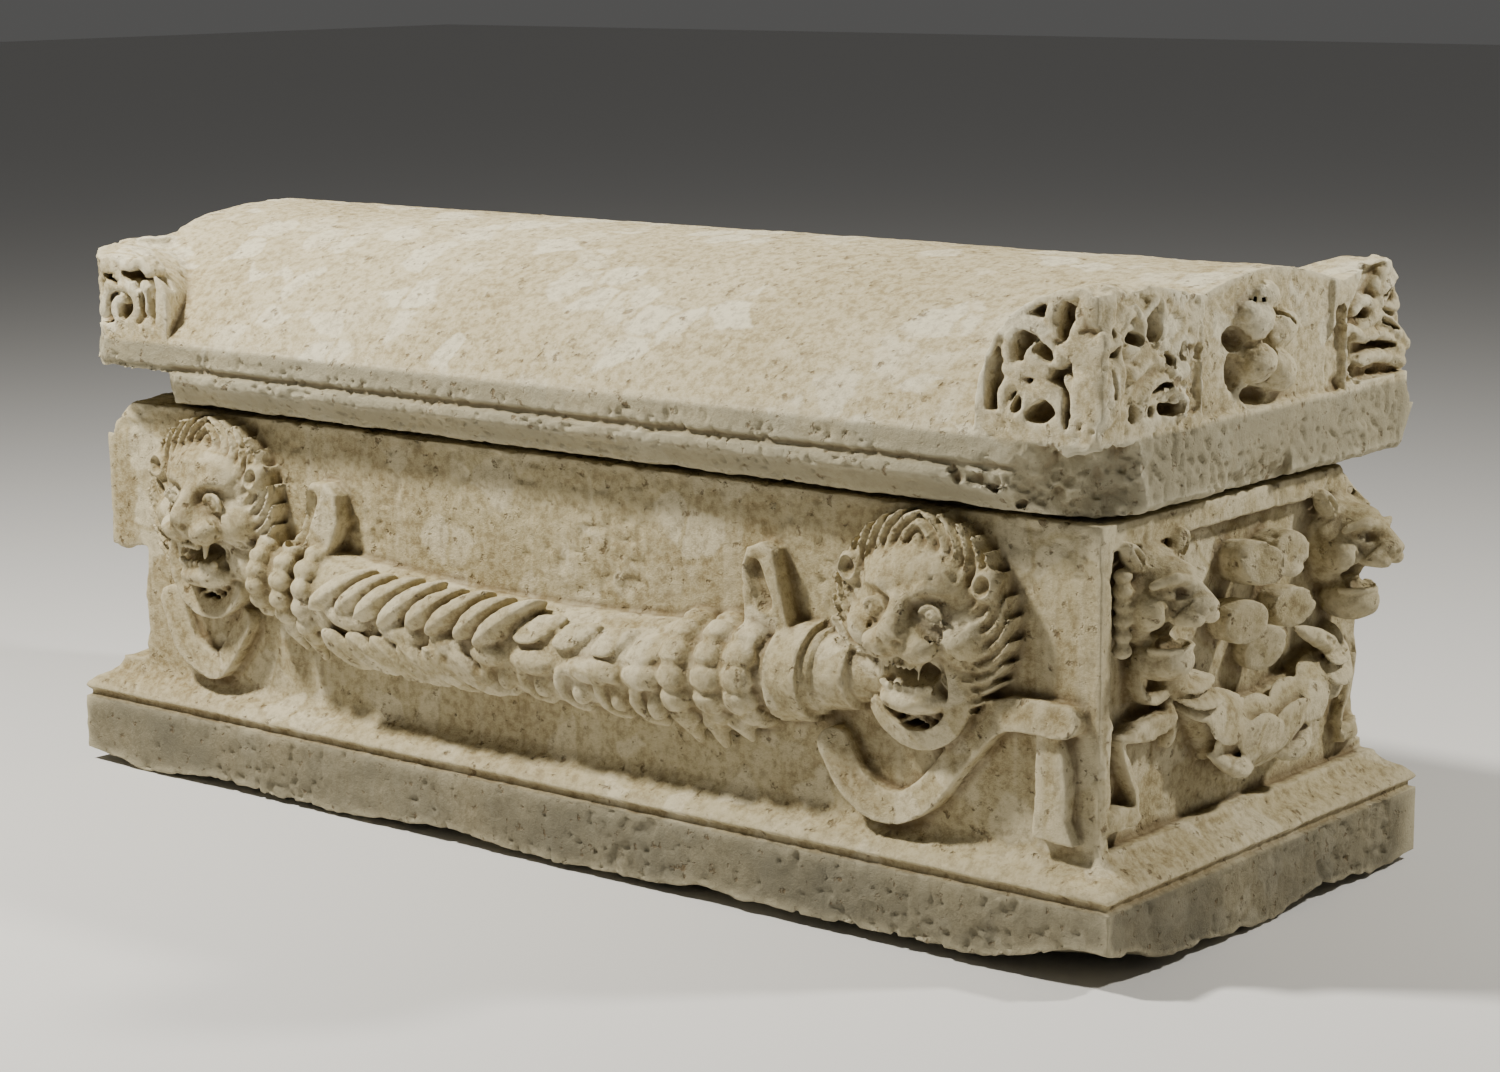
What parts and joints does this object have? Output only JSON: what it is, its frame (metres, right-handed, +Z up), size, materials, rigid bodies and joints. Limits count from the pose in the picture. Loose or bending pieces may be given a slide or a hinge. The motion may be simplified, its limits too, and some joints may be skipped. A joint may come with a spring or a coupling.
{
  "type": "garland sarcophagus",
  "caption": "Roman garland sarcophagus in weathered limestone: a hollow chest carved with lion heads, a garland, ribbons and rosettes, and a loose barrel-vaulted lid with corner horns.",
  "frame": {"origin": "on the ground, under the middle of the plinth", "axes": "+X along the length towards the carved right end, -Y out of the carved front, +Z up"},
  "size_m": [2.105, 0.906, 0.932],
  "materials": {
    "chest_limestone": "matte",
    "lid_limestone": "matte"
  },
  "bodies": {
    "root": {"chest": "chest_limestone", "lid": "lid_limestone"}
  },
  "joints": []
}
